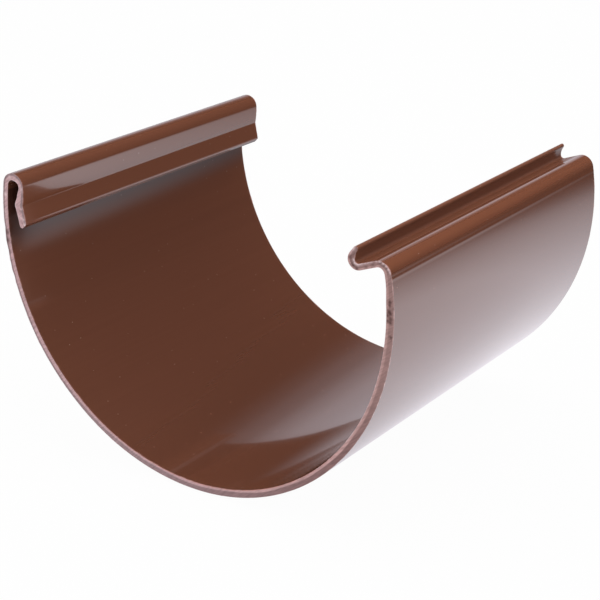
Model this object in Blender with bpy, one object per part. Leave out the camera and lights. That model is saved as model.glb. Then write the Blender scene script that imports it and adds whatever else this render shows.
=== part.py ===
"""Union for half-round rainwater gutter: one length of extruded PVC profile, sawn off square.

The profile is a half-round trough that the gutter ends lie in. Its left wall runs on past the half
circle into a hook that folds over the gutter's bead, and its right wall turns inwards into a sloping
shelf with a curled lip, which holds the gutter's back edge. The wall's thickness changes along the
profile, as it does in the real extrusion.

Frame: +X across the trough, from the hook to the shelf; +Y along the extrusion; +Z up. The origin
lies under the trough's lowest line, half way along the length.
"""

import math

import bmesh
import bpy

MM = 0.001

# Trough, which fits round the gutter
UNION_LENGTH = 106.0 * MM
GUTTER_RADIUS = 62.5 * MM
GUTTER_CLEARANCE = 0.1 * MM
TROUGH_WALL = 2.2 * MM

# Hook over the gutter's bead. Leans are measured from the vertical, the fall from the horizontal.
HOOK_WALL = 1.75 * MM
HOOK_WALL_RISE = 13.9 * MM
HOOK_CROWN_RADIUS = 3.9 * MM
HOOK_CROWN_FALL_DEG = 32.0
HOOK_CROWN_WALL = 2.0 * MM
HOOK_NOSE_RADIUS = 3.4 * MM
HOOK_NOSE_WALL = 1.6 * MM
HOOK_NECK_START_DEG = 10.0
HOOK_NECK_RADIUS = 27.0 * MM
HOOK_NECK_LEAN_DEG = 19.0
HOOK_NECK_WALL = 2.7 * MM
HOOK_KNEE_RADIUS = 1.6 * MM
HOOK_KNEE_WALL = 2.85 * MM
HOOK_FOOT_LEAN_DEG = 9.5
HOOK_FOOT_LENGTH = 5.3 * MM
HOOK_FOOT_WALL = 2.6 * MM
TOE_CORNER_RADIUS = 0.4 * MM
TOE_CHAMFER_DEG = 55.0
TOE_NOSE_RADIUS = 0.8 * MM

# Shelf and lip that hold the gutter's back edge
SHELF_WALL_RISE = 8.1 * MM
SHELF_WALL_TOP = 1.85 * MM
SHELF_CORNER_RADIUS = 3.4 * MM
SHELF_SLOPE_DEG = 18.0
SHELF_LENGTH = 4.8 * MM
SHELF_WALL = 1.6 * MM
LIP_VALLEY_RADIUS = 0.9 * MM
LIP_ROOT_WALL = 2.0 * MM
LIP_RADIUS = 3.9 * MM
LIP_LEAN_DEG = 38.0
LIP_TIP_WALL = 1.2 * MM

# Fine rib that the die leaves on the right wall, below the shelf's corner
RIB_RISE = 6.5 * MM
RIB_WIDTH = 0.9 * MM
RIB_HEIGHT = 0.04 * MM

# Facets
TROUGH_STEP_DEG = 1.5
BEND_STEP_DEG = 5.0
NOSE_STEP_DEG = 20.0
RIB_FACETS = 6
SHARP_EDGE_DEG = 40.0

PVC_BROWN = (0.115, 0.042, 0.024, 1.0)
PVC_ROUGHNESS = 0.22

trough_radius = GUTTER_RADIUS + GUTTER_CLEARANCE + TROUGH_WALL


def arc(radius, turn_deg, end_wall=0.0, step_deg=BEND_STEP_DEG, bulge=0.0):
    """Return a bend: its length, its turn, the wall at its end, its facets and its bulge.

    The bulge is how far the outer skin swells into a low rib.
    """
    turn = math.radians(turn_deg)
    facets = max(2, math.ceil(abs(turn_deg) / step_deg - 1e-6))
    return radius * abs(turn), turn, end_wall, facets, bulge


def line(length, end_wall=0.0):
    """Return a straight stretch in the same form."""
    return length, 0.0, end_wall, 1, 0.0


def smooth_share(share):
    """Ease 0 to 1 so that it starts and ends level."""
    return share * share * (3.0 - 2.0 * share)


def walk(start, heading, wall, stretches):
    """Follow the stretches and return the outer skin, the inner skin and the last heading.

    The path is the outer skin. The wall lies on its right-hand side, and a positive turn bends
    it to the right.
    """
    x, z = start
    outer = [(x, z)]
    inner = [(x + wall * math.sin(heading), z - wall * math.cos(heading))]
    for length, turn, end_wall, facets, bulge in stretches:
        for step in range(1, facets + 1):
            share = step / facets
            direction = heading - turn * share
            chord_direction = heading - turn * share / 2.0
            chord = length * share
            if turn:
                chord = 2.0 * length / abs(turn) * math.sin(abs(turn) * share / 2.0)
            path_x = x + chord * math.cos(chord_direction)
            path_z = z + chord * math.sin(chord_direction)
            thickness = wall + (end_wall - wall) * smooth_share(share)
            rise = bulge * (1.0 - math.cos(2.0 * math.pi * share)) / 2.0
            across = (math.sin(direction), -math.cos(direction))
            outer.append((path_x - rise * across[0], path_z - rise * across[1]))
            inner.append((path_x + thickness * across[0], path_z + thickness * across[1]))
        x, z = outer[-1]
        heading -= turn
        wall = end_wall
    return outer, inner, heading


def hook_half():
    """Return the skins from the trough's lowest line up the left wall to the foot of the hook."""
    wall_lean_deg = math.degrees(math.asin(HOOK_WALL_RISE / trough_radius))
    stretches = [
        arc(trough_radius, 90.0, HOOK_WALL, TROUGH_STEP_DEG),
        arc(trough_radius, wall_lean_deg, HOOK_WALL, TROUGH_STEP_DEG),
        arc(HOOK_CROWN_RADIUS, 90.0 - wall_lean_deg + HOOK_CROWN_FALL_DEG, HOOK_CROWN_WALL),
        arc(HOOK_NOSE_RADIUS, 90.0 - HOOK_CROWN_FALL_DEG + HOOK_NECK_START_DEG, HOOK_NOSE_WALL),
        arc(HOOK_NECK_RADIUS, HOOK_NECK_LEAN_DEG - HOOK_NECK_START_DEG, HOOK_NECK_WALL),
        arc(HOOK_KNEE_RADIUS, -HOOK_NECK_LEAN_DEG - HOOK_FOOT_LEAN_DEG, HOOK_KNEE_WALL),
        line(HOOK_FOOT_LENGTH, HOOK_FOOT_WALL),
    ]
    return walk((0.0, 0.0), math.pi, TROUGH_WALL, stretches)


def toe(start, heading):
    """Return the outline of the hook's toe, from the foot's outer skin round to its inner skin.

    A small corner, a straight chamfer and a round nose. The chamfer is as long as it takes for the
    nose to run into the inner skin.
    """
    chamfer = math.radians(TOE_CHAMFER_DEG)
    corner_depth = TOE_CORNER_RADIUS * (1.0 - math.cos(chamfer))
    nose_depth = TOE_NOSE_RADIUS * (1.0 + math.cos(chamfer))
    chamfer_length = (HOOK_FOOT_WALL - corner_depth - nose_depth) / math.sin(chamfer)
    stretches = [
        arc(TOE_CORNER_RADIUS, TOE_CHAMFER_DEG, 0.0, NOSE_STEP_DEG),
        line(chamfer_length),
        arc(TOE_NOSE_RADIUS, 180.0 - TOE_CHAMFER_DEG, 0.0, NOSE_STEP_DEG),
    ]
    outline, _, _ = walk(start, heading, 0.0, stretches)
    return outline[1:]


def shelf_half():
    """Return the skins from the trough's lowest line up the right wall to the tip of the lip.

    They are worked out as on the left side, and mirrored afterwards.
    """
    wall_lean_deg = math.degrees(math.asin(SHELF_WALL_RISE / trough_radius))
    rib_lean_deg = math.degrees(math.asin(RIB_RISE / trough_radius))
    rib_turn_deg = math.degrees(RIB_WIDTH / trough_radius)
    stretches = [
        arc(trough_radius, 90.0, TROUGH_WALL, TROUGH_STEP_DEG),
        arc(trough_radius, rib_lean_deg, SHELF_WALL_TOP, TROUGH_STEP_DEG),
        arc(trough_radius, rib_turn_deg, SHELF_WALL_TOP, rib_turn_deg / RIB_FACETS, RIB_HEIGHT),
        arc(trough_radius, wall_lean_deg - rib_lean_deg - rib_turn_deg, SHELF_WALL_TOP),
        arc(SHELF_CORNER_RADIUS, 90.0 - wall_lean_deg + SHELF_SLOPE_DEG, SHELF_WALL),
        line(SHELF_LENGTH, SHELF_WALL),
        arc(LIP_VALLEY_RADIUS, -90.0 - SHELF_SLOPE_DEG, LIP_ROOT_WALL),
        arc(LIP_RADIUS, -LIP_LEAN_DEG, LIP_TIP_WALL),
    ]
    return walk((0.0, 0.0), math.pi, TROUGH_WALL, stretches)


def lip_tip(start, heading):
    """Return the half round that closes the lip, from its outer skin to its inner skin."""
    outline, _, _ = walk(start, heading, 0.0, [arc(LIP_TIP_WALL / 2.0, 180.0, 0.0, NOSE_STEP_DEG)])
    return outline[1:-1]


def mirrored(points):
    """Return the points on the other side of the trough."""
    return [(-x, z) for x, z in points]


def union_mesh():
    """Lay the profile out as flat faces at the near end and extrude them along the length."""
    hook_outer, hook_inner, hook_heading = hook_half()
    shelf_outer, shelf_inner, shelf_heading = shelf_half()
    tip = mirrored(lip_tip(shelf_outer[-1], shelf_heading))
    outer = hook_outer[::-1] + mirrored(shelf_outer[1:])
    inner = hook_inner[::-1] + mirrored(shelf_inner[1:])

    bm = bmesh.new()

    def near_points(points):
        return [bm.verts.new((x, -UNION_LENGTH / 2.0, z)) for x, z in points]

    outer_verts = near_points(outer)
    inner_verts = near_points(inner)
    for index in range(len(outer_verts) - 1):
        outer_pair = outer_verts[index:index + 2]
        inner_pair = inner_verts[index:index + 2]
        bm.faces.new(outer_pair + inner_pair[::-1])
    bm.faces.new([outer_verts[0]] + near_points(toe(hook_outer[-1], hook_heading)) + [inner_verts[0]])
    bm.faces.new([outer_verts[-1]] + near_points(tip) + [inner_verts[-1]])

    extruded = bmesh.ops.extrude_face_region(bm, geom=bm.faces[:])
    far_verts = [item for item in extruded["geom"] if isinstance(item, bmesh.types.BMVert)]
    bmesh.ops.translate(bm, verts=far_verts, vec=(0.0, UNION_LENGTH, 0.0))
    bmesh.ops.recalc_face_normals(bm, faces=bm.faces[:])

    mesh = bpy.data.meshes.new("gutter_union")
    bm.to_mesh(mesh)
    bm.free()
    mesh.shade_smooth()
    mesh.set_sharp_from_angle(angle=math.radians(SHARP_EDGE_DEG))
    return mesh


def pvc_material():
    """Return the glossy brown PVC."""
    material = bpy.data.materials.new("pvc_brown")
    material.use_nodes = True
    shader = material.node_tree.nodes["Principled BSDF"]
    shader.inputs["Base Color"].default_value = PVC_BROWN
    shader.inputs["Roughness"].default_value = PVC_ROUGHNESS
    shader.inputs["Metallic"].default_value = 0.0
    return material


def main():
    """Clear the scene and build the union."""
    for item in list(bpy.data.objects):
        bpy.data.objects.remove(item, do_unlink=True)
    union = bpy.data.objects.new("gutter_union", union_mesh())
    union.data.materials.append(pvc_material())
    bpy.context.collection.objects.link(union)


main()
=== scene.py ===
# Gutter union in brown uPVC: a glossy extruded profile with rough saw-cut ends, shown as in a
# product photograph. Sizes in the dictionaries are millimetres and degrees, unless a comment there
# says metres. The model is in metres, with the origin under the trough's lowest line, half way along.

import math

import bpy
import numpy as np
from mathutils import Matrix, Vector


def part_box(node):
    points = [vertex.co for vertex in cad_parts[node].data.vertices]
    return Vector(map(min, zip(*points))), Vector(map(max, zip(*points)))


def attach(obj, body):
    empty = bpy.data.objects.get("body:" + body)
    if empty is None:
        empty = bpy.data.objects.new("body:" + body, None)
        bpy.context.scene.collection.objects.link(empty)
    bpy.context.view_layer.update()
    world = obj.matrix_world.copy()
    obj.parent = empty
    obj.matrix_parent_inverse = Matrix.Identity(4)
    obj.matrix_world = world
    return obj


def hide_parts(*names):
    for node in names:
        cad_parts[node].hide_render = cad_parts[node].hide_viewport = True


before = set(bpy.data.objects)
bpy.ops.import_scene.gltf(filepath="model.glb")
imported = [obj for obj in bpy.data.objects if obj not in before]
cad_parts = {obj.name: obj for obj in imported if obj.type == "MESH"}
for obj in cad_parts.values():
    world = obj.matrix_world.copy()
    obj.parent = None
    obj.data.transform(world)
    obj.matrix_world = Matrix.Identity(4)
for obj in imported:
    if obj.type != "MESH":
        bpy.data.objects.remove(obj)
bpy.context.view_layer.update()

mm = 0.001
lowCorner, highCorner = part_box("gutter_union")
halfLength = highCorner.y
troughRadius = -lowCorner.x


# Small helpers

def hexColour(text):
    # sRGB hex to linear: value / 12.92 up to 0.04045, and ((value + 0.055) / 1.055) ^ 2.4 above
    values = [int(text[i:i + 2], 16) / 255.0 for i in (1, 3, 5)]
    return [v / 12.92 if v <= 0.04045 else ((v + 0.055) / 1.055) ** 2.4 for v in values] + [1.0]


def addNode(tree, kind, settings=None, inputs=None):
    # One node, with its own fields in settings and its sockets in inputs, as values or as links
    node = tree.nodes.new(kind)
    for name, value in (settings or {}).items():
        setattr(node, name, value)
    for name, value in (inputs or {}).items():
        if isinstance(value, bpy.types.NodeSocket):
            tree.links.new(value, node.inputs[name])
        else:
            node.inputs[name].default_value = value
    return node


def newTree(material):
    material.use_nodes = True
    material.node_tree.nodes.clear()
    return material.node_tree


def planeWaves(seed, shortest, longest, count, *coordinates):
    # Smooth noise: the sum of cosines of waves in random directions, scaled to a spread of about 1.
    # Each wave has its own length between shortest and longest, and its own phase.
    rng = np.random.default_rng(seed)
    total = np.zeros(np.broadcast(*coordinates).shape)
    for _ in range(count):
        direction = rng.normal(size=len(coordinates))
        direction /= np.linalg.norm(direction)
        turns = 2.0 * np.pi / math.exp(rng.uniform(math.log(shortest), math.log(longest)))
        phase = rng.uniform(0.0, 2.0 * np.pi)
        total = total + np.cos(turns * sum(d * c for d, c in zip(direction, coordinates)) + phase)
    return total * math.sqrt(2.0 / count)


# The profile, as the die gives it. Leans are measured from the vertical, the crown's fall and the
# shelf's slope from the horizontal, and each wall is the one at the end of its stretch.

profileShape = {
    "troughWall": 2.2,
    "hookWall": 1.75, "hookWallRise": 13.9,
    "crownRadius": 3.9, "crownFall": 32.0, "crownWall": 2.0,
    "noseRadius": 3.4, "noseWall": 1.6,
    "neckStart": 5.0, "neckRadius": 41.0, "neckLean": 9.5, "neckWall": 2.3,
    "throatRadius": 13.8, "throatLean": 18.0, "throatWall": 2.7,
    "kneeRadius": 0.3, "kneeWall": 2.85, "footLean": 7.5, "footLength": 5.05, "footWall": 2.6,
    "toeCornerRadius": 0.4, "toeChamfer": 55.0, "toeNoseRadius": 0.8,
    "shelfWallRise": 8.1, "shelfWallTop": 1.85, "shelfCornerRadius": 3.4, "shelfSlope": 18.0,
    "shelfLength": 4.8, "shelfWall": 1.6,
    "lipValleyRadius": 0.9, "lipRootWall": 2.0, "lipRadius": 3.9, "lipLean": 38.0, "lipTipWall": 1.2,
    "ribRise": 6.5, "ribWidth": 0.9, "ribHeight": 0.036,
    "pointSpacing": 0.45, "turnPerPoint": 5.0, "leastSteps": 3,
}


def bend(radius, turn, endWall=0.0, bulge=0.0):
    # Length, turn, the wall at the end, and how far the outer skin swells into a rib
    return radius * math.radians(abs(turn)), math.radians(turn), endWall, bulge


def run(length, endWall=0.0):
    # A straight stretch in the same form
    return length, 0.0, endWall, 0.0


def followStretches(start, heading, wall, stretches):
    # The outer skin is a chain of arcs and straight runs. At share t of a bend of length L and turn a
    # the chord is (2 L / a) sin(a t / 2), along the heading less a t / 2. The inner skin lies the
    # wall's thickness to the right, and the wall eases from one stretch to the next by t^2 (3 - 2 t).
    outer = [np.array([start])]
    inner = [np.array([start]) + wall * np.array([[math.sin(heading), -math.cos(heading)]])]
    corner = np.array(start, float)
    for length, turn, endWall, bulge in stretches:
        steps = max(profileShape["leastSteps"], math.ceil(length / profileShape["pointSpacing"]),
                    math.ceil(math.degrees(abs(turn)) / profileShape["turnPerPoint"]))
        share = np.linspace(0.0, 1.0, steps + 1)[1:]
        chord = length * share * np.sinc(turn * share / (2.0 * np.pi))
        chordHeading = heading - turn * share / 2.0
        path = corner + chord[:, None] * np.stack([np.cos(chordHeading), np.sin(chordHeading)], 1)
        pointHeading = heading - turn * share
        across = np.stack([np.sin(pointHeading), -np.cos(pointHeading)], 1)
        thickness = wall + (endWall - wall) * share * share * (3.0 - 2.0 * share)
        rib = bulge * (1.0 - np.cos(2.0 * np.pi * share)) / 2.0
        outer.append(path - rib[:, None] * across)
        inner.append(path + thickness[:, None] * across)
        corner = path[-1]
        heading -= turn
        wall = endWall
    return np.concatenate(outer), np.concatenate(inner), heading


def closeEnd(outer, inner, outline):
    # The outline runs round the end of the wall from the outer skin to the inner skin. Its first half
    # goes with the outer skin and the rest with the inner skin, and both end in its middle point.
    length = np.concatenate([[0.0], np.cumsum(np.linalg.norm(np.diff(outline, axis=0), axis=1))])
    steps = 2 * math.ceil(length[-1] / profileShape["pointSpacing"])
    place = np.linspace(0.0, length[-1], steps + 1)
    even = np.stack([np.interp(place, length, outline[:, axis]) for axis in (0, 1)], 1)
    middle = steps // 2
    return (np.concatenate([outer, even[1:middle + 1]]),
            np.concatenate([inner, even[middle:-1][::-1]]))


def profileRails():
    # Both skins from the hook's toe to the lip's tip, point for point across the wall, in mm from the
    # trough's lowest line. They share their first and their last point.
    shape = profileShape
    radius = troughRadius / mm
    wallLean = math.degrees(math.asin(shape["hookWallRise"] / radius))
    hookOuter, hookInner, footHeading = followStretches((0.0, 0.0), math.pi, shape["troughWall"], [
        bend(radius, 90.0, shape["hookWall"]),
        bend(radius, wallLean, shape["hookWall"]),
        bend(shape["crownRadius"], 90.0 - wallLean + shape["crownFall"], shape["crownWall"]),
        bend(shape["noseRadius"], 90.0 - shape["crownFall"] + shape["neckStart"], shape["noseWall"]),
        bend(shape["neckRadius"], shape["neckLean"] - shape["neckStart"], shape["neckWall"]),
        bend(shape["throatRadius"], shape["throatLean"] - shape["neckLean"], shape["throatWall"]),
        bend(shape["kneeRadius"], -shape["throatLean"] - shape["footLean"], shape["kneeWall"]),
        run(shape["footLength"], shape["footWall"]),
    ])
    chamfer = math.radians(shape["toeChamfer"])
    cornerDepth = shape["toeCornerRadius"] * (1.0 - math.cos(chamfer))
    noseDepth = shape["toeNoseRadius"] * (1.0 + math.cos(chamfer))
    toe, _, _ = followStretches(hookOuter[-1], footHeading, 0.0, [
        bend(shape["toeCornerRadius"], shape["toeChamfer"]),
        run((shape["footWall"] - cornerDepth - noseDepth) / math.sin(chamfer)),
        bend(shape["toeNoseRadius"], 180.0 - shape["toeChamfer"]),
    ])
    hookOuter, hookInner = closeEnd(hookOuter, hookInner, np.concatenate([toe, hookInner[-1:]]))

    shelfLean = math.degrees(math.asin(shape["shelfWallRise"] / radius))
    ribLean = math.degrees(math.asin(shape["ribRise"] / radius))
    ribTurn = math.degrees(shape["ribWidth"] / radius)
    shelfOuter, shelfInner, lipHeading = followStretches((0.0, 0.0), math.pi, shape["troughWall"], [
        bend(radius, 90.0, shape["troughWall"]),
        bend(radius, ribLean, shape["shelfWallTop"]),
        bend(radius, ribTurn, shape["shelfWallTop"], shape["ribHeight"]),
        bend(radius, shelfLean - ribLean - ribTurn, shape["shelfWallTop"]),
        bend(shape["shelfCornerRadius"], 90.0 - shelfLean + shape["shelfSlope"], shape["shelfWall"]),
        run(shape["shelfLength"], shape["shelfWall"]),
        bend(shape["lipValleyRadius"], -90.0 - shape["shelfSlope"], shape["lipRootWall"]),
        bend(shape["lipRadius"], -shape["lipLean"], shape["lipTipWall"]),
    ])
    halfRound = [bend(shape["lipTipWall"] / 2.0, 180.0)]
    tip, _, _ = followStretches(shelfOuter[-1], lipHeading, 0.0, halfRound)
    shelfOuter, shelfInner = closeEnd(shelfOuter, shelfInner, tip)
    mirror = np.array([-1.0, 1.0])
    return (np.concatenate([hookOuter[::-1], shelfOuter[1:] * mirror]),
            np.concatenate([hookInner[::-1], shelfInner[1:] * mirror]))


# The sawn union: skins, burrs and cut faces. Lines, nicks and marks are given as x, z, radius and
# strength on the section, in mm from the trough's lowest line.

sawnUnion = {
    # Points: rings along the extrusion, close together at the cuts, and places across the cut face
    "ringSpacing": 2.4, "leastWall": 0.4, "sharpAngle": 40.0,
    "endRings": (0.0, 0.05, 0.12, 0.25, 0.45, 0.8, 1.3, 2.0),
    "acrossWall": (0.0, 0.06, 0.14, 0.24, 0.34, 0.44, 0.54, 0.64, 0.74, 0.84, 0.92, 1.0),
    # Waves: their height, the shortest and the longest, how many are summed, and their seed. The die's
    # waves are drawn out along the extrusion by 1 / dieWaveAlong.
    "dieWave": 0.004, "dieWaveLengths": (14.0, 60.0), "dieWaveCount": 24, "dieWaveSeed": 3,
    "dieWaveAlong": 0.04,
    "cutWander": 0.05, "cutWanderLengths": (25.0, 110.0), "cutWanderCount": 12, "cutWanderSeed": 21,
    "cutFade": 1.5,
    "cutRoughness": 0.02, "cutRoughnessLengths": (0.9, 2.6), "cutRoughnessCount": 60,
    "cutRoughnessSeed": 31,
    "burrHeight": 0.05, "burrLean": 0.004, "burrReach": 0.2, "burrLengths": (1.5, 9.0),
    "burrCount": 40, "burrSeed": 11, "burrStart": 0.2, "burrMost": 2.0,
    "edgeWhite": 0.25, "burrWhite": 0.6, "nickReach": 0.7,
    # Painted top light and painted shade: places on the section, how far a skin has to face a way,
    # and the painted light's share
    "paintedLightAbove": 68.0, "paintedLightFull": 73.0, "facingUp": 0.8, "facingTrough": 0.3,
    "hookSide": -50.0, "hookBottom": 65.0, "crownLight": 0.5, "footLight": 0.4,
    "wallSide": -59.5, "shadeTop": 77.0, "shadeFull": 54.0, "shadeBottom": 44.0,
    "paintedShadeFull": 65.0, "paintedShadeBottom": 57.0,
    "valleyLeft": 50.0, "valleyRight": 60.0, "valleyFloor": 70.0, "valleyFade": 1.5,
    "valleyFacing": 0.5,
    # Painted highlight lines along the whole length, and nicks and marks on the near cut
    "paintedHighlightLines": ((-56.3, 67.3, 0.3, 0.35),),
    "nicks": ((-64.8, 65.6, 1.3, -0.16), (-65.0, 61.6, 1.2, 0.10), (-64.6, 58.4, 1.4, -0.14),
              (-63.9, 53.2, 1.1, 0.14), (-63.0, 51.0, 1.0, -0.12), (54.6, 73.2, 0.7, 0.10)),
    "paleMarks": ((-63.0, 75.3, 0.5, 1.0), (-63.8, 70.1, 0.4, 0.5), (-56.6, 67.2, 0.45, 1.0),
                  (-57.0, 68.8, 0.35, 0.8), (-57.9, 69.2, 0.35, 0.7), (-58.8, 69.7, 0.35, 0.6),
                  (-57.4, 71.7, 0.3, 0.6), (-59.5, 72.1, 0.35, 0.5), (-60.6, 80.6, 0.5, 0.5),
                  (-58.2, 79.6, 0.6, 0.5), (-56.4, 77.6, 0.6, 0.5), (53.8, 77.9, 0.55, 0.7),
                  (52.9, 77.0, 0.5, 0.5), (53.9, 75.0, 0.35, 0.8), (54.2, 74.3, 0.4, 0.8),
                  (55.0, 74.2, 0.5, 1.0), (55.9, 74.5, 0.45, 1.0), (56.9, 74.8, 0.4, 0.9),
                  (57.8, 75.2, 0.45, 1.0), (58.7, 75.5, 0.4, 1.0), (60.2, 75.8, 0.3, 0.9),
                  (61.2, 75.8, 0.3, 0.9), (62.2, 75.4, 0.3, 0.9), (63.0, 74.9, 0.3, 0.9),
                  (63.6, 74.2, 0.35, 0.9), (64.0, 73.5, 0.35, 0.8)),
    "darkMarks": ((-64.0, 64.2, 0.8, 0.8), (-64.2, 61.8, 0.9, 0.8), (-64.2, 58.6, 0.7, 0.6),
                  (-57.9, 71.2, 0.3, 0.6), (-57.5, 67.6, 0.3, 0.8), (-62.5, 80.4, 0.4, 0.4),
                  (52.7, 75.6, 0.6, 0.7), (53.6, 73.6, 0.45, 0.9), (54.6, 72.9, 0.45, 0.9),
                  (57.3, 73.7, 0.5, 0.6), (59.2, 74.6, 0.5, 0.5), (61.3, 75.3, 0.28, 0.9),
                  (62.3, 74.9, 0.28, 0.9), (63.0, 74.3, 0.28, 0.9), (63.5, 73.5, 0.28, 0.7),
                  (63.7, 66.1, 0.49, 1.0), (63.6, 65.2, 0.42, 1.0), (63.3, 63.7, 0.56, 1.0),
                  (63.8, 63.2, 0.42, 1.0), (62.9, 62.6, 0.49, 1.0), (63.8, 61.9, 0.49, 1.0),
                  (62.9, 61.2, 0.42, 1.0), (63.7, 60.9, 0.42, 1.0), (63.7, 57.2, 0.42, 1.0)),
}


def closedOutline(outerRail, innerRail):
    # The outer rail there, and the inner rail back without the two points that they share
    return np.concatenate([outerRail, innerRail[-2:0:-1]])


def outwardNormals(outline):
    # At right angles to the line between each point's neighbours. The outer rail runs from the hook
    # down and round to the lip, so the outside is on the right-hand side.
    tangent = np.roll(outline, -1, axis=0) - np.roll(outline, 1, axis=0)
    tangent /= np.linalg.norm(tangent, axis=1, keepdims=True)
    return np.stack([tangent[:, 1], -tangent[:, 0]], 1)


def ringPlaces():
    # Distances along the extrusion, close together at both ends where the burrs are
    half = halfLength / mm
    ends = np.array(sawnUnion["endRings"])
    inner = half - ends[-1]
    between = np.linspace(-inner, inner, math.ceil(2.0 * inner / sawnUnion["ringSpacing"]) + 1)
    return np.concatenate([-half + ends[:-1], between, (half - ends[:-1])[::-1]])


def spots(marks, x, z):
    # Each mark adds strength times exp(-(distance / radius)^2)
    total = np.zeros(np.shape(x))
    for markX, markZ, radius, strength in marks:
        total = total + strength * np.exp(-((x - markX) ** 2 + (z - markZ) ** 2) / radius ** 2)
    return total


def skinRings(outline, places):
    # One ring of points round the profile at each place along the extrusion. The rings are moved out
    # along the profile's normals by the die's faint waves, and close to the cuts by the burr and the
    # nicks, which fade by exp(-(distance / reach)^2) from the cut. End 0 is the far cut and end 1 the
    # near one. Each cut wanders a little along the extrusion, and its burrs stand out from it.
    look = sawnUnion
    normals = outwardNormals(outline)
    x, z = outline[:, 0], outline[:, 1]
    fromEnd = halfLength / mm - np.abs(places)
    isNear = (places < 0.0)[:, None]
    wave = planeWaves(look["dieWaveSeed"], *look["dieWaveLengths"], look["dieWaveCount"],
                      x[None], z[None], places[:, None] * look["dieWaveAlong"])
    burrs, wanders = [], []
    for end in (0, 1):
        torn = planeWaves(look["burrSeed"] + end, *look["burrLengths"], look["burrCount"], x, z)
        burrs.append(np.clip(torn - look["burrStart"], 0.0, look["burrMost"]))
        slow = planeWaves(look["cutWanderSeed"] + end, *look["cutWanderLengths"],
                          look["cutWanderCount"], x, z)
        wanders.append(look["cutWander"] * slow)
    burr = np.where(isNear, burrs[1][None], burrs[0][None])
    burrFade = np.exp(-(fromEnd / look["burrReach"]) ** 2)[:, None]
    nickFade = np.exp(-(fromEnd / look["nickReach"]) ** 2)[:, None]
    nick = spots(look["nicks"], x, z)[None] * nickFade * isNear
    out = look["dieWave"] * wave + look["burrLean"] * burr * burrFade + nick
    raised = look["burrHeight"] * burr * (fromEnd == 0.0)[:, None]
    wander = np.where(isNear, wanders[1][None], wanders[0][None])
    push = (wander + raised) * np.exp(-fromEnd / look["cutFade"])[:, None]
    skin = np.stack([x[None] + out * normals[None, :, 0],
                     places[:, None] + np.sign(places)[:, None] * push,
                     z[None] + out * normals[None, :, 1]], -1)
    torn = np.clip(look["edgeWhite"] + look["burrWhite"] * burr, 0.0, 1.0)
    # Stress whitening at the burrs, plus the painted highlight line along the toe's corner
    whitenedAndHighlit = torn * burrFade + spots(look["paintedHighlightLines"], x, z)[None]
    return skin, whitenedAndHighlit, wanders


def smoothRise(value, low, high):
    # 0 up to low, 1 from high on, and t^2 (3 - 2 t) between them
    t = np.clip((value - low) / (high - low), 0.0, 1.0)
    return t * t * (3.0 - 2.0 * t)


def paintedLightAndDullPlaces(outline):
    # Painted top light: the skins above a height that face upwards, and the side of the hook's neck
    # and foot that faces the trough, painted lighter. Shaded: the inside of the left wall, from under
    # the hook down to where it turns into the floor of the trough, whose reflections get painted
    # shade.
    # Painted shade: the upper part of that, which the hook keeps dark, painted darker. Dull: the
    # shelf's valley beside the lip.
    look = sawnUnion
    normals = outwardNormals(outline)
    x, z = outline[:, 0], outline[:, 1]
    # Painted top light: the tops and the hook's side facing the trough are painted lighter
    onTop = (smoothRise(z, look["paintedLightAbove"], look["paintedLightFull"])
             * smoothRise(normals[:, 1], 0.0, look["facingUp"]))
    onHook = x < look["hookSide"]
    outside = (onHook & (x > look["wallSide"]) & (z > look["hookBottom"])
               & (normals[:, 0] > look["facingTrough"]))
    paintedTopLight = np.maximum(onTop * np.where(onHook, look["crownLight"], 1.0), look["footLight"] * outside)
    inWall = (x < look["wallSide"]) & (normals[:, 0] > 0.0) & (z < look["shadeTop"])
    inValley = ((x > look["valleyLeft"]) & (x < look["valleyRight"]) & (z > look["valleyFloor"])
                & ((normals[:, 0] > 0.0) | (normals[:, 1] > look["valleyFacing"])))
    return {"paintedTopLight": paintedTopLight,
            "dull": inValley * smoothRise(look["valleyRight"] - x, 0.0, look["valleyFade"]),
            "shaded": inWall * smoothRise(z, look["shadeBottom"], look["shadeFull"]),
            "paintedShade": inWall * smoothRise(z, look["paintedShadeBottom"], look["paintedShadeFull"])}


def cutGrid(ring, railCount, wander, end):
    # The points of the cut face between the two rails: straight across the wall from rail to rail,
    # and rough along the extrusion, on top of the wander that the rails have there.
    look = sawnUnion
    rail = np.arange(railCount)
    innerIndex = (len(ring) - rail) % len(ring)
    inside = np.array(look["acrossWall"])[1:-1]
    outerEdge, innerEdge = ring[rail][1:-1, None], ring[innerIndex][1:-1, None]
    grid = outerEdge * (1.0 - inside[None, :, None]) + innerEdge * inside[None, :, None]
    rough = planeWaves(look["cutRoughnessSeed"] + end, *look["cutRoughnessLengths"],
                       look["cutRoughnessCount"], grid[..., 0], grid[..., 2])
    flat = (wander[rail[1:-1]][:, None] * (1.0 - inside)
            + wander[innerIndex[1:-1]][:, None] * inside)
    sign = -1.0 if end else 1.0
    grid[..., 1] = sign * (halfLength / mm + flat + look["cutRoughness"] * rough)
    return grid


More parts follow.
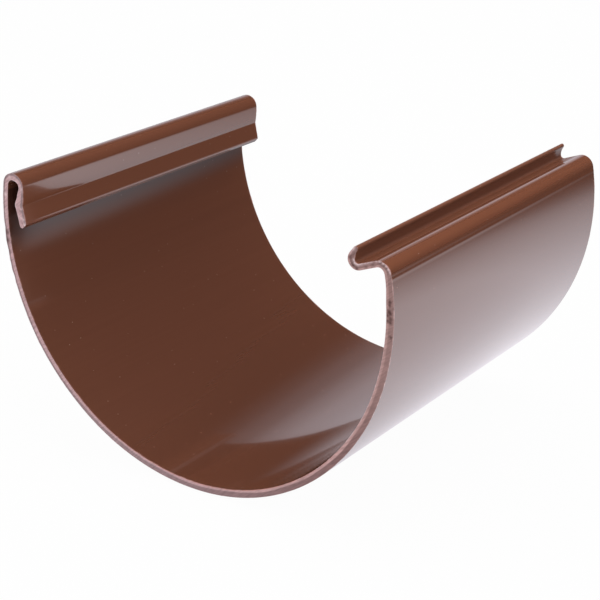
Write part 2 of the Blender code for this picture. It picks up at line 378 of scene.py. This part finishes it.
def unionSurface():
    # Rings, cut grids, faces and the numbers that the materials read. The skin is across = 0 on the
    # outer rail and across = 1 on the inner one, and a cut face runs from one to the other.
    look = sawnUnion
    outerRail, innerRail = profileRails()
    outline = closedOutline(outerRail, innerRail)
    railCount, ringSize = len(outerRail), len(outline)
    stepLengths = np.linalg.norm(np.roll(outline, -1, axis=0) - outline, axis=1)
    along = np.concatenate([[0.0], np.cumsum(stepLengths)])
    places = ringPlaces()
    skin, whitenedAndHighlit, wanders = skinRings(outline, places)
    across = np.array(look["acrossWall"])
    wallHere = np.maximum(np.linalg.norm(outerRail - innerRail, axis=1), look["leastWall"])
    rail = np.arange(railCount)

    inner = (np.arange(ringSize) >= railCount - 1).astype(float)
    total = skin.shape[0] * ringSize
    vertices, whites = [skin.reshape(-1, 3)], [whitenedAndHighlit.ravel()]
    acrossAt, darks = [np.tile(inner, len(places))], [np.zeros(total)]
    capGrids = []
    for end, ringStart in ((1, 0), (0, (len(places) - 1) * ringSize)):
        grid = cutGrid(skin[0] if end else skin[-1], railCount, wanders[end], end)
        shape = grid.shape[:2]
        vertices.append(grid.reshape(-1, 3))
        whites.append(spots(look["paleMarks"], grid[..., 0], grid[..., 2]).ravel() * end)
        darks.append(spots(look["darkMarks"], grid[..., 0], grid[..., 2]).ravel() * end)
        acrossAt.append(np.broadcast_to(across[1:-1], shape).ravel())
        index = np.empty((railCount, len(across)), int)
        index[:, 0] = ringStart + rail
        index[:, -1] = ringStart + (ringSize - rail) % ringSize
        index[1:-1, 1:-1] = total + np.arange(shape[0] * shape[1]).reshape(shape)
        index[0, 1:-1] = index[0, 0]
        index[-1, 1:-1] = index[-1, 0]
        total += shape[0] * shape[1]
        capGrids.append((end, index))

    # Faces, and for each of their corners its place on the unrolled skin or cut, in mm
    column = np.arange(ringSize)
    following = (column + 1) % ringSize
    lower = np.arange(len(places) - 1)[:, None] * ringSize
    skinFaces = np.stack([lower + column, lower + ringSize + column,
                          lower + ringSize + following, lower + following], -1)
    here, before = np.broadcast_arrays(along[None, :-1], places[:-1, None])
    after, beyond = np.broadcast_arrays(along[None, 1:], places[1:, None])
    skinLay = np.stack([np.stack([here, before], -1), np.stack([here, beyond], -1),
                        np.stack([after, beyond], -1), np.stack([after, before], -1)], -2)
    quads, lays = [skinFaces.reshape(-1, 4)], [skinLay.reshape(-1, 4, 2)]
    triangles, triangleLays = [], []
    for end, index in capGrids:
        grid = np.stack([index[:-1, :-1], index[1:, :-1], index[1:, 1:], index[:-1, 1:]], -1)
        layU, layV = np.broadcast_arrays(along[rail][:, None], across[None] * wallHere[:, None])
        lay = np.stack([layU, layV], -1)
        layGrid = np.stack([lay[:-1, :-1], lay[1:, :-1], lay[1:, 1:], lay[:-1, 1:]], -2)
        if not end:
            grid, layGrid = grid[..., ::-1], layGrid[..., ::-1, :]
        quads.append(grid[1:-1].reshape(-1, 4))
        lays.append(layGrid[1:-1].reshape(-1, 4, 2))
        # The first and the last row close to one point, so their faces are triangles
        for row in (0, -1):
            keep = [0, 1, 2] if (row == 0) else [0, 1, 3]
            if not end:
                keep = [1, 2, 3] if (row == 0) else [0, 2, 3]
            triangles.append(grid[row][:, keep])
            triangleLays.append(layGrid[row][:, keep])
    quads, lays = np.concatenate(quads), np.concatenate(lays)
    triangles, triangleLays = np.concatenate(triangles), np.concatenate(triangleLays)
    noneOnCuts = np.zeros(total - len(places) * ringSize)
    paintedAndDull = {name: np.concatenate([np.tile(values, len(places)), noneOnCuts])
            for name, values in paintedLightAndDullPlaces(outline).items()}
    return {
        "vertices": np.concatenate(vertices) * mm,
        "faces": quads.tolist() + triangles.tolist(),
        "lay": np.concatenate([lays.reshape(-1, 2), triangleLays.reshape(-1, 2)]) * mm,
        "isCut": np.arange(len(quads) + len(triangles)) >= skinFaces.size // 4,
        "whitenedAndHighlit": np.clip(np.concatenate(whites), 0.0, 1.0),
        "darkened": np.clip(np.concatenate(darks), 0.0, 1.0),
        "across": np.concatenate(acrossAt),
        **paintedAndDull,
    }


def makeUnion(skinMaterial, cutMaterial):
    surface = unionSurface()
    mesh = bpy.data.meshes.new("sawnUnion")
    mesh.from_pydata(surface["vertices"].tolist(), [], surface["faces"])
    layer = mesh.uv_layers.new(name="lay")
    layer.data.foreach_set("uv", surface["lay"].astype(np.float32).ravel())
    for name in ("whitenedAndHighlit", "darkened", "across", "paintedTopLight", "shaded", "paintedShade", "dull"):
        attribute = mesh.attributes.new(name, "FLOAT", "POINT")
        attribute.data.foreach_set("value", surface[name].astype(np.float32))
    mesh.materials.append(skinMaterial)
    mesh.materials.append(cutMaterial)
    mesh.polygons.foreach_set("material_index", surface["isCut"].astype(np.int32))
    mesh.shade_smooth()
    mesh.set_sharp_from_angle(angle=math.radians(sawnUnion["sharpAngle"]))
    mesh.validate()
    union = bpy.data.objects.new("sawn_union", mesh)
    bpy.context.scene.collection.objects.link(union)
    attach(union, "root")
    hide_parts("gutter_union")
    return union


# Glossy uPVC, extruded: pigmented through and polished by the die. It gives the eye a rich dark brown
# with clear, slightly soft reflections, faint lines along the extrusion and a few specks of dust. It
# is painted lighter on the tops and on the hook's side facing the trough, as painted highlight, and
# painted darker with thinner reflections under the hook, as painted shade; it is dull in the valley.
# A pale line along the toe is painted highlight. Its IOR is above the 1.54 that is typical of PVC, to
# match how strongly the skin mirrors the paper. Dust of about 0.1 mm is drawn at 0.16 mm, so that it
# shows.

glossPvc = {
    # The lighter brown is painted highlight on the tops, the darker one painted shade under the hook
    "brown": "#693F2F", "streakBrown": "#653C2C", "paintedLitBrown": "#7E4C37", "paintedShadeBrown": "#482B23",
    "stressWhiteAndHighlight": "#C08F87", "speck": "#C9A89C",
    "roughness": 0.12, "roughnessSpread": 0.04, "coatRoughness": 0.05,
    "streakWidth": 1.6, "streakLength": 90.0, "streakDetail": 3.0, "streakBreakup": 0.5,
    "speckSpacing": 5.0, "speckRadius": 0.16, "speckShare": 0.22,
    "ior": 1.7, "shadedCoat": 0.1, "dullRoughness": 0.3,
}


def makeGlossPvc():
    look = glossPvc
    material = bpy.data.materials.new("glossPvc")
    tree = newTree(material)
    lay = addNode(tree, "ShaderNodeUVMap", {"uv_map": "lay"}).outputs["UV"]
    stretched = addNode(tree, "ShaderNodeMapping", {}, {
        "Vector": lay,
        "Scale": (1.0 / (look["streakWidth"] * mm), 1.0 / (look["streakLength"] * mm), 1.0)})
    streak = addNode(tree, "ShaderNodeTexNoise", {"noise_dimensions": "2D"}, {
        "Vector": stretched.outputs["Vector"], "Scale": 1.0, "Detail": look["streakDetail"],
        "Roughness": look["streakBreakup"]})
    colour = addNode(tree, "ShaderNodeMix", {"data_type": "RGBA"}, {
        0: streak.outputs["Fac"], 6: hexColour(look["brown"]), 7: hexColour(look["streakBrown"])})
    # Painted highlight: a lighter brown on the upward tops and the hook's side facing the trough
    paintedTopLight = addNode(tree, "ShaderNodeAttribute", {"attribute_name": "paintedTopLight"})
    colour = addNode(tree, "ShaderNodeMix", {"data_type": "RGBA"}, {
        0: paintedTopLight.outputs["Fac"], 6: colour.outputs[2], 7: hexColour(look["paintedLitBrown"])})
    # Painted shade: a darker brown on the inner wall under the hook
    paintedShade = addNode(tree, "ShaderNodeAttribute", {"attribute_name": "paintedShade"})
    colour = addNode(tree, "ShaderNodeMix", {"data_type": "RGBA"}, {
        0: paintedShade.outputs["Fac"], 6: colour.outputs[2], 7: hexColour(look["paintedShadeBrown"])})

    # Specks: a dot at the middle of some of the cells, each cell with its own chance and size
    cells = addNode(tree, "ShaderNodeTexVoronoi", {"voronoi_dimensions": "2D"}, {
        "Vector": lay, "Scale": 1.0 / (look["speckSpacing"] * mm)})
    chance = addNode(tree, "ShaderNodeSeparateColor", {}, {"Color": cells.outputs["Color"]})
    present = addNode(tree, "ShaderNodeMath", {"operation": "LESS_THAN"}, {
        0: chance.outputs[0], 1: look["speckShare"]}).outputs[0]
    dot = addNode(tree, "ShaderNodeMapRange", {}, {
        "Value": cells.outputs["Distance"], "From Min": 0.0,
        "From Max": look["speckRadius"] / look["speckSpacing"],
        "To Min": 1.0, "To Max": 0.0}).outputs["Result"]
    strength = addNode(tree, "ShaderNodeMath", {"operation": "MULTIPLY"}, {
        0: dot, 1: chance.outputs[1]}).outputs[0]
    speck = addNode(tree, "ShaderNodeMath", {"operation": "MULTIPLY"}, {
        0: strength, 1: present}).outputs[0]
    dusty = addNode(tree, "ShaderNodeMix", {"data_type": "RGBA"}, {
        0: speck, 6: colour.outputs[2], 7: hexColour(look["speck"])})

    # Stress whitening at the cut edges, and the painted highlight line along the toe
    whitenedAndHighlit = addNode(tree, "ShaderNodeAttribute", {"attribute_name": "whitenedAndHighlit"})
    pale = addNode(tree, "ShaderNodeMix", {"data_type": "RGBA"}, {
        0: whitenedAndHighlit.outputs["Fac"], 6: dusty.outputs[2], 7: hexColour(look["stressWhiteAndHighlight"])})
    haze = addNode(tree, "ShaderNodeMapRange", {}, {
        "Value": streak.outputs["Fac"], "To Min": look["roughness"],
        "To Max": look["roughness"] + look["roughnessSpread"]})

    # The die's polish is the clear coat: full on the open skins and none in the valley; under the hook
    # it is thinned as painted shade on the reflections
    shaded = addNode(tree, "ShaderNodeAttribute", {"attribute_name": "shaded"})
    coat = addNode(tree, "ShaderNodeMapRange", {}, {
        "Value": shaded.outputs["Fac"], "To Min": 1.0, "To Max": look["shadedCoat"]})
    dull = addNode(tree, "ShaderNodeAttribute", {"attribute_name": "dull"})
    haze = addNode(tree, "ShaderNodeMix", {}, {
        0: dull.outputs["Fac"], 2: haze.outputs["Result"], 3: look["dullRoughness"]})
    coat = addNode(tree, "ShaderNodeMix", {}, {
        0: dull.outputs["Fac"], 2: coat.outputs["Result"], 3: 0.0})
    shader = addNode(tree, "ShaderNodeBsdfPrincipled", {}, {
        "Base Color": pale.outputs[2], "Roughness": haze.outputs[0],
        "IOR": look["ior"], "Coat Weight": coat.outputs[0],
        "Coat Roughness": look["coatRoughness"], "Coat IOR": look["ior"]})
    addNode(tree, "ShaderNodeOutputMaterial", {}, {"Surface": shader.outputs["BSDF"]})
    return material


# Sawn uPVC: torn and stress-whitened by the saw, so it is matt, paler and pinker than the skin. The
# saw leaves a pink band along the inside of the wall and a grey mauve one along the outside, with fine
# marks across both, pale burrs and dark chatter marks. A fine saw's marks lie closer than 0.42 mm, but
# are drawn that coarse so that they show. The places whose names end in From, To, Top and Bottom are
# in metres, apart from litFrom and litTo, which are shares of the wall.

sawnPvc = {
    "outerMauve": "#9C8083", "outerBrown": "#835F5C", "innerPink": "#C6A1A4", "innerBrown": "#C29895",
    "rightBrown": "#A5827E", "burrPink": "#EAD0D2", "chatter": "#55332E", "litEdge": "#B4654E",
    "mellowFrom": 0.048, "mellowTo": 0.062, "mellow": 0.6,
    "bandLeft": 0.35, "bandRight": 0.67, "bandFrom": -0.056, "bandTo": -0.025,
    "bandSoftness": 0.07, "bandWander": 0.06, "bandWanderLength": 12.0, "bandDetail": 2.0,
    "dullFrom": -0.035, "dullTo": 0.062,
    # The lit edge is painted light: a glow of the skin's brown along the inner edge
    "litFrom": 0.90, "litTo": 1.0, "litTop": 0.030, "litBottom": 0.012,
    "sawSpacing": 0.42, "sawLength": 3.5, "sawTurn": 35.0, "sawDepth": 0.02, "sawShade": 0.28,
    "sawDetail": 4.0, "sawBreakup": 0.6, "noiseLow": 0.3, "noiseHigh": 0.7,
    "roughness": 0.5, "ior": 1.54,
}


def makeSawnPvc():
    look = sawnPvc
    material = bpy.data.materials.new("sawnPvc")
    tree = newTree(material)
    lay = addNode(tree, "ShaderNodeUVMap", {"uv_map": "lay"}).outputs["UV"]
    place = addNode(tree, "ShaderNodeTexCoord").outputs["Object"]
    axes = addNode(tree, "ShaderNodeSeparateXYZ", {}, {0: place})
    sideways = axes.outputs["X"]
    dull = addNode(tree, "ShaderNodeMapRange", {"interpolation_type": "SMOOTHSTEP"}, {
        "Value": sideways, "From Min": look["dullFrom"], "From Max": look["dullTo"]}).outputs["Result"]

    # Two bands across the wall, whose border wanders
    across = addNode(tree, "ShaderNodeAttribute", {"attribute_name": "across"}).outputs["Fac"]
    wander = addNode(tree, "ShaderNodeTexNoise", {"noise_dimensions": "2D"}, {
        "Vector": lay, "Scale": 1.0 / (look["bandWanderLength"] * mm),
        "Detail": look["bandDetail"]}).outputs["Fac"]
    middle = addNode(tree, "ShaderNodeMapRange", {"interpolation_type": "SMOOTHSTEP"}, {
        "Value": sideways, "From Min": look["bandFrom"], "From Max": look["bandTo"],
        "To Min": look["bandLeft"], "To Max": look["bandRight"]}).outputs["Result"]
    shift = addNode(tree, "ShaderNodeMapRange", {}, {
        "Value": wander, "From Min": look["noiseLow"], "From Max": look["noiseHigh"],
        "To Min": -look["bandWander"], "To Max": look["bandWander"]}).outputs["Result"]
    border = addNode(tree, "ShaderNodeMath", {}, {0: middle, 1: shift}).outputs[0]
    inwards = addNode(tree, "ShaderNodeMath", {"operation": "SUBTRACT"}, {
        0: across, 1: border}).outputs[0]
    band = addNode(tree, "ShaderNodeMapRange", {"interpolation_type": "SMOOTHSTEP"}, {
        "Value": inwards, "From Min": -look["bandSoftness"],
        "From Max": look["bandSoftness"]}).outputs["Result"]
    outside = addNode(tree, "ShaderNodeMix", {"data_type": "RGBA"}, {
        0: dull, 6: hexColour(look["outerMauve"]), 7: hexColour(look["outerBrown"])}).outputs[2]
    inside = addNode(tree, "ShaderNodeMix", {"data_type": "RGBA"}, {
        0: dull, 6: hexColour(look["innerPink"]), 7: hexColour(look["innerBrown"])}).outputs[2]
    banded = addNode(tree, "ShaderNodeMix", {"data_type": "RGBA"}, {
        0: band, 6: outside, 7: inside}).outputs[2]

    # Up the right wall the bands run together
    mellow = addNode(tree, "ShaderNodeMapRange", {}, {
        "Value": sideways, "From Min": look["mellowFrom"], "From Max": look["mellowTo"],
        "To Max": look["mellow"]}).outputs["Result"]
    banded = addNode(tree, "ShaderNodeMix", {"data_type": "RGBA"}, {
        0: mellow, 6: banded, 7: hexColour(look["rightBrown"])}).outputs[2]

    # The inner edge along the floor of the trough, painted with a glow of the skin's own brown as
    # painted light
    low = addNode(tree, "ShaderNodeMapRange", {}, {
        "Value": axes.outputs["Z"], "From Min": look["litBottom"], "From Max": look["litTop"],
        "To Min": 1.0, "To Max": 0.0}).outputs["Result"]
    atEdge = addNode(tree, "ShaderNodeMapRange", {}, {
        "Value": across, "From Min": look["litFrom"], "From Max": look["litTo"]}).outputs["Result"]
    lit = addNode(tree, "ShaderNodeMath", {"operation": "MULTIPLY"}, {0: low, 1: atEdge}).outputs[0]
    banded = addNode(tree, "ShaderNodeMix", {"data_type": "RGBA"}, {
        0: lit, 6: banded, 7: hexColour(look["litEdge"])}).outputs[2]

    # Saw marks: noise drawn out along the saw's path over the flat cut
    turned = addNode(tree, "ShaderNodeMapping", {}, {
        "Vector": place, "Rotation": (0.0, math.radians(look["sawTurn"]), 0.0)}).outputs["Vector"]
    drawn = addNode(tree, "ShaderNodeMapping", {}, {
        "Vector": turned,
        "Scale": (1.0 / (look["sawLength"] * mm), 1.0, 1.0 / (look["sawSpacing"] * mm))})
    saw = addNode(tree, "ShaderNodeTexNoise", {}, {
        "Vector": drawn.outputs["Vector"], "Scale": 1.0, "Detail": look["sawDetail"],
        "Roughness": look["sawBreakup"]}).outputs["Fac"]
    shade = addNode(tree, "ShaderNodeMapRange", {}, {
        "Value": saw, "From Min": look["noiseLow"], "From Max": look["noiseHigh"],
        "To Min": 1.0 - look["sawShade"], "To Max": 1.0 + look["sawShade"]}).outputs["Result"]
    marked = addNode(tree, "ShaderNodeMix", {"data_type": "RGBA", "blend_type": "MULTIPLY"}, {
        0: 1.0, 6: banded, 7: shade}).outputs[2]
    darkened = addNode(tree, "ShaderNodeAttribute", {"attribute_name": "darkened"})
    scorched = addNode(tree, "ShaderNodeMix", {"data_type": "RGBA"}, {
        0: darkened.outputs["Fac"], 6: marked, 7: hexColour(look["chatter"])}).outputs[2]
    whitenedAndHighlit = addNode(tree, "ShaderNodeAttribute", {"attribute_name": "whitenedAndHighlit"})
    pale = addNode(tree, "ShaderNodeMix", {"data_type": "RGBA"}, {
        0: whitenedAndHighlit.outputs["Fac"], 6: scorched, 7: hexColour(look["burrPink"])})
    bump = addNode(tree, "ShaderNodeBump", {}, {
        "Height": saw, "Distance": look["sawDepth"] * mm, "Strength": 1.0})
    shader = addNode(tree, "ShaderNodeBsdfPrincipled", {}, {
        "Base Color": pale.outputs[2], "Roughness": look["roughness"],
        "Normal": bump.outputs["Normal"], "IOR": look["ior"]})
    addNode(tree, "ShaderNodeOutputMaterial", {}, {"Surface": shader.outputs["BSDF"]})
    return material


# Studio, in metres: a sheet of white paper with a pool of light on it, and its upright part behind the
# union, both seen in the glossy skin. Round them is a grey room with dark cards, and soft lamps stand
# above and to the right. The falloffs are pairs of a distance and a brightness. The cards lie between
# the two pairs of the sight line's share along Y, over which they fade in and out.

studio = {
    "paperSize": 3.0, "paperDrop": 0.0003, "paperSides": 96,
    "paperWhite": 0.6, "paperGlow": 0.975, "paperTint": "#FDF7FF",
    "poolPlace": (0.11, 0.05), "poolGlow": 0.92, "poolWhite": 0.85,
    "poolFalloff": ((0.0, 1.0), (0.06, 1.0), (0.10, 0.84), (0.145, 0.68), (0.18, 0.55),
                    (0.21, 0.42), (0.24, 0.26), (0.28, 0.13), (0.34, 0.03), (0.40, 0.01)),
    "backDistance": 1.4, "backTint": "#FBF5FF",
    "backAcross": ((-0.9, 1.0), (0.32, 1.0), (0.46, 0.75), (0.68, 0.0)),
    "backFalloff": ((0.0, 0.57), (0.52, 0.57), (0.66, 0.46), (0.73, 0.40), (0.83, 0.25),
                    (0.96, 0.19), (1.03, 0.11), (1.25, 0.0)),
    "sweepTurn": 36.8,
    "dark": 0.005, "room": 0.4, "cardsFrom": (0.45, 0.56), "cardsTo": (0.88, 0.95), "ambient": 1.0,
    "topPlace": (0.05, 0.05, 1.0), "topSize": 1.1, "topPower": 3.0,
    "rightPlace": (0.9, -0.25, 0.85), "rightSize": 0.8, "rightPower": 1.8,
    "lampTarget": (0.0, 0.0, 0.04),
}


def stageMesh(name, points, faces, glow):
    # A stage piece whose "glow" says how bright the skin sees it at each of its points
    mesh = bpy.data.meshes.new(name)
    mesh.from_pydata(np.asarray(points).tolist(), [], faces)
    attribute = mesh.attributes.new("glow", "FLOAT", "POINT")
    attribute.data.foreach_set("value", np.asarray(glow, np.float32))
    piece = bpy.data.objects.new(name, mesh)
    bpy.context.scene.collection.objects.link(piece)
    material = bpy.data.materials.new(name)
    mesh.materials.append(material)
    return piece, newTree(material)


def makePaper():
    # Rings round the middle of the pool, out to the paper's edge. The camera sees the paper white
    # with the union's faint shadow, and reflections see the pool with that shadow in it.
    sides, drop = studio["paperSides"], studio["paperDrop"]
    falloff = np.array(studio["poolFalloff"])
    radii = np.concatenate([falloff[1:, 0], [studio["paperSize"]]])
    turns = np.linspace(0.0, 2.0 * np.pi, sides, endpoint=False)
    ringX = studio["poolPlace"][0] + radii[:, None] * np.cos(turns)
    ringY = studio["poolPlace"][1] + radii[:, None] * np.sin(turns)
    rings = np.stack([ringX, ringY, np.full(ringX.shape, -drop)], -1).reshape(-1, 3)
    points = np.concatenate([[[*studio["poolPlace"], -drop]], rings])
    column = np.arange(sides)
    following = (column + 1) % sides
    start = 1 + np.arange(len(radii) - 1)[:, None] * sides
    quads = np.stack([start + column, start + sides + column, start + sides + following,
                      start + following], -1).reshape(-1, 4)
    fan = np.stack([np.zeros(sides, int), 1 + column, 1 + following], -1)
    glow = np.concatenate([[falloff[0, 1]], np.repeat(falloff[1:, 1], sides),
                           np.full(sides, falloff[-1, 1])])
    paper, tree = stageMesh("paper", points, fan.tolist() + quads.tolist(), glow)

    pool = addNode(tree, "ShaderNodeAttribute", {"attribute_name": "glow"}).outputs["Fac"]
    path = addNode(tree, "ShaderNodeLightPath")
    reflected = addNode(tree, "ShaderNodeMath", {"operation": "MAXIMUM"}, {
        0: path.outputs["Is Glossy Ray"], 1: path.outputs["Is Transmission Ray"]}).outputs[0]
    sheet = addNode(tree, "ShaderNodeBsdfDiffuse", {}, {
        "Color": (studio["paperWhite"],) * 3 + (1.0,)}).outputs[0]
    white = addNode(tree, "ShaderNodeEmission", {}, {
        "Color": (1.0, 1.0, 1.0, 1.0), "Strength": 1.0}).outputs[0]
    seen = addNode(tree, "ShaderNodeMixShader", {}, {
        0: studio["paperGlow"], 1: sheet, 2: white}).outputs[0]
    glowing = addNode(tree, "ShaderNodeEmission", {}, {
        "Color": hexColour(studio["paperTint"]), "Strength": pool}).outputs[0]
    lit = addNode(tree, "ShaderNodeMath", {"operation": "MULTIPLY"}, {
        0: pool, 1: studio["poolWhite"]}).outputs[0]
    shaded = addNode(tree, "ShaderNodeBsdfDiffuse", {}, {"Color": lit}).outputs[0]
    pooled = addNode(tree, "ShaderNodeMixShader", {}, {
        0: studio["poolGlow"], 1: shaded, 2: glowing}).outputs[0]
    direct = addNode(tree, "ShaderNodeMixShader", {}, {
        0: path.outputs["Is Camera Ray"], 1: sheet, 2: seen}).outputs[0]
    mixed = addNode(tree, "ShaderNodeMixShader", {}, {0: reflected, 1: direct, 2: pooled}).outputs[0]
    addNode(tree, "ShaderNodeOutputMaterial", {}, {"Surface": mixed})


def makeBackdrop():
    # The paper's upright part, turned to face the camera. It is lit from below, so it fades out with
    # height, and it fades to the right. Only reflections see it.
    turn = math.radians(studio["sweepTurn"])
    right = np.array([math.cos(turn), math.sin(turn), 0.0])
    away = np.array([-math.sin(turn), math.cos(turn), 0.0])
    falloff, spread = np.array(studio["backFalloff"]), np.array(studio["backAcross"])
    points = (studio["backDistance"] * away + falloff[:, None, :1] * [0.0, 0.0, 1.0]
              + spread[None, :, :1] * right)
    index = np.arange(len(falloff) * len(spread)).reshape(len(falloff), len(spread))
    faces = np.stack([index[:-1, :-1], index[:-1, 1:], index[1:, 1:], index[1:, :-1]], -1)
    glow = falloff[:, None, 1] * spread[None, :, 1]
    backdrop, tree = stageMesh(
        "backdrop", points.reshape(-1, 3), faces.reshape(-1, 4).tolist(), glow.ravel())
    backdrop.visible_camera = False
    backdrop.visible_diffuse = False
    backdrop.visible_shadow = False
    fading = addNode(tree, "ShaderNodeAttribute", {"attribute_name": "glow"}).outputs["Fac"]
    glow = addNode(tree, "ShaderNodeEmission", {}, {
        "Color": hexColour(studio["backTint"]), "Strength": fading}).outputs[0]
    addNode(tree, "ShaderNodeOutputMaterial", {}, {"Surface": glow})


def makeWorld():
    # White to the camera, and an even light all round for the matt part of every surface. Reflections
    # see a grey room with a ring of dark cards round the Y axis, on the side away from the camera.
    world = bpy.data.worlds.new("studio")
    bpy.context.scene.world = world
    world.use_nodes = True
    tree = world.node_tree
    tree.nodes.clear()
    direction = addNode(tree, "ShaderNodeTexCoord").outputs["Generated"]
    along = addNode(tree, "ShaderNodeSeparateXYZ", {}, {0: direction}).outputs["Y"]
    fades = [addNode(tree, "ShaderNodeMapRange", {"interpolation_type": "SMOOTHSTEP"}, {
        "Value": along, "From Min": low, "From Max": high}).outputs["Result"]
        for low, high in (studio["cardsFrom"], studio["cardsTo"])]
    carded = addNode(tree, "ShaderNodeMath", {"operation": "SUBTRACT"}, {
        0: fades[0], 1: fades[1]}).outputs[0]
    room = addNode(tree, "ShaderNodeMapRange", {}, {
        "Value": carded, "To Min": studio["room"], "To Max": studio["dark"]}).outputs["Result"]
    path = addNode(tree, "ShaderNodeLightPath")
    around, mirrored, white = [
        addNode(tree, "ShaderNodeBackground", {}, {
            "Color": (1.0, 1.0, 1.0, 1.0), "Strength": strength}).outputs[0]
        for strength in (studio["ambient"], room, 1.0)]
    lit = addNode(tree, "ShaderNodeMixShader", {}, {
        0: path.outputs["Is Glossy Ray"], 1: around, 2: mirrored}).outputs[0]
    mixed = addNode(tree, "ShaderNodeMixShader", {}, {
        0: path.outputs["Is Camera Ray"], 1: lit, 2: white}).outputs[0]
    addNode(tree, "ShaderNodeOutputWorld", {}, {"Surface": mixed})


def aimed(place, target):
    # A lamp looks along its own -Z, so its Z points from the target back to the lamp
    back = np.array(place, float) - np.array(target, float)
    back /= np.linalg.norm(back)
    right = np.cross((0.0, 0.0, 1.0), back)
    right /= np.linalg.norm(right)
    up = np.cross(back, right)
    turned = np.eye(4)
    turned[:3, 0], turned[:3, 1], turned[:3, 2], turned[:3, 3] = right, up, back, place
    return Matrix(turned.tolist())


def makeLamp(name, place, size, power):
    light = bpy.data.lights.new(name, "AREA")
    light.shape = "DISK"
    light.size = size
    light.energy = power
    lamp = bpy.data.objects.new(name, light)
    lamp.matrix_world = aimed(place, studio["lampTarget"])
    bpy.context.scene.collection.objects.link(lamp)


# Camera: from the front right, looking down, turned a little about its own axis. Places are in metres.

viewPoint = {
    "place": (0.25112, -0.33823, 0.19278), "azimuth": 36.834, "elevation": 20.157, "roll": -2.73,
    "focalPixels": 1551.3, "imagePixels": 600.0, "sensor": 36.0, "nearest": 0.01,
}


def makeCamera():
    # forward = (-sin a cos e, cos a cos e, -sin e), right = (cos a, sin a, 0), up = right x forward,
    # and right and up are then turned by the roll
    look = viewPoint
    a, e, roll = (math.radians(look[key]) for key in ("azimuth", "elevation", "roll"))
    forward = np.array([-math.sin(a) * math.cos(e), math.cos(a) * math.cos(e), -math.sin(e)])
    right = np.array([math.cos(a), math.sin(a), 0.0])
    up = np.cross(right, forward)
    turned = np.eye(4)
    turned[:3, 0] = right * math.cos(roll) + up * math.sin(roll)
    turned[:3, 1] = up * math.cos(roll) - right * math.sin(roll)
    turned[:3, 2] = -forward
    turned[:3, 3] = look["place"]
    data = bpy.data.cameras.new("photoCamera")
    data.sensor_width = look["sensor"]
    data.lens = look["focalPixels"] / look["imagePixels"] * look["sensor"]
    data.clip_start = look["nearest"]
    camera = bpy.data.objects.new("photoCamera", data)
    camera.matrix_world = Matrix(turned.tolist())
    bpy.context.scene.collection.objects.link(camera)
    bpy.context.scene.camera = camera


bpy.context.scene.view_settings.view_transform = "Standard"
makeCamera()
print("camera placed")
makeUnion(makeGlossPvc(), makeSawnPvc())
print("union made")
makePaper()
makeBackdrop()
makeWorld()
makeLamp("topSoftbox", studio["topPlace"], studio["topSize"], studio["topPower"])
makeLamp("rightSoftbox", studio["rightPlace"], studio["rightSize"], studio["rightPower"])
print("studio made")
